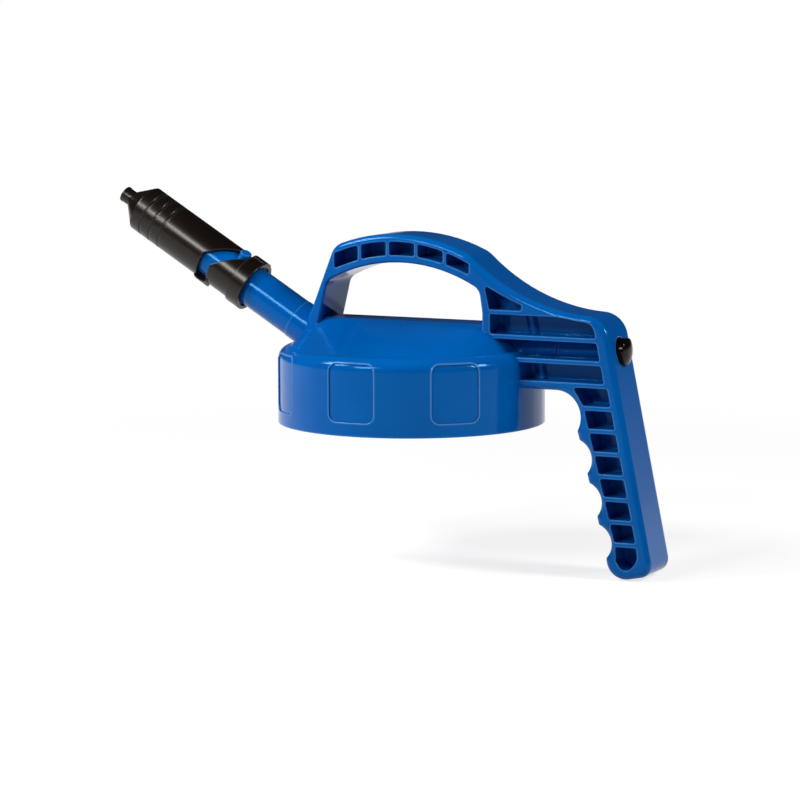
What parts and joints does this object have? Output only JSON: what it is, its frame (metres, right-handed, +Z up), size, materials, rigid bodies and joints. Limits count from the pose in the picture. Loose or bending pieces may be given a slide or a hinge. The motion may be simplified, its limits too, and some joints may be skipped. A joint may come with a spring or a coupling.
{
  "type": "spout cap",
  "caption": "Screw cap for an oil container with a carry handle, a pistol grip, a push-button vent and a slanted pouring spout with a twist valve.",
  "frame": {"origin": "where the screw axis of the cap meets the plane of its bottom rim", "axes": "+Z up along the screw axis; +X towards the rear grip, the spout points to -X; +Y to the left of a viewer who looks along +X"},
  "size_m": [0.2824, 0.125, 0.1707],
  "materials": {
    "body_plastic": "glossy moulded polyethylene, saturated blue",
    "sleeve_plastic": "satin black moulding",
    "button_plastic": "glossy black moulding",
    "rod_plastic": "natural acetal",
    "seal_rubber": "matt black nitrile rubber",
    "spring_steel": "bright stainless spring wire"
  },
  "bodies": {
    "cap": {"lid_body": "body_plastic", "lid_gasket": "seal_rubber", "tube_o_ring": "seal_rubber", "valve_plug": "sleeve_plastic"},
    "slider": {"sleeve_o_ring": "seal_rubber"},
    "sleeve": {"spout_sleeve": "sleeve_plastic"},
    "vent": {"vent_button": "button_plastic", "vent_rod": "rod_plastic", "vent_seal": "seal_rubber", "seal_retainer": "spring_steel", "vent_spring": "spring_steel"}
  },
  "joints": [
    {"name": "sleeve_slide", "type": "slide", "parent": "cap", "child": "slider", "axis": [0.8572, 0, -0.515], "range_m": [0, 0.013]},
    {"name": "sleeve_turn", "type": "hinge", "parent": "slider", "child": "sleeve", "pos_m": [-0.10429, 0, 0.07154], "axis": [0.8572, 0, -0.515], "range_deg": [-68.5, 0]},
    {"name": "vent_press", "type": "slide", "parent": "cap", "child": "vent", "axis": [-1, 0, 0], "range_m": [0, 0.003], "stiffness_N_per_m": 600, "deforming": ["vent_spring"]}
  ],
  "couplings": [
    {"joint": "sleeve_turn", "follows": "sleeve_slide", "rad_per_m": -91.965}
  ]
}
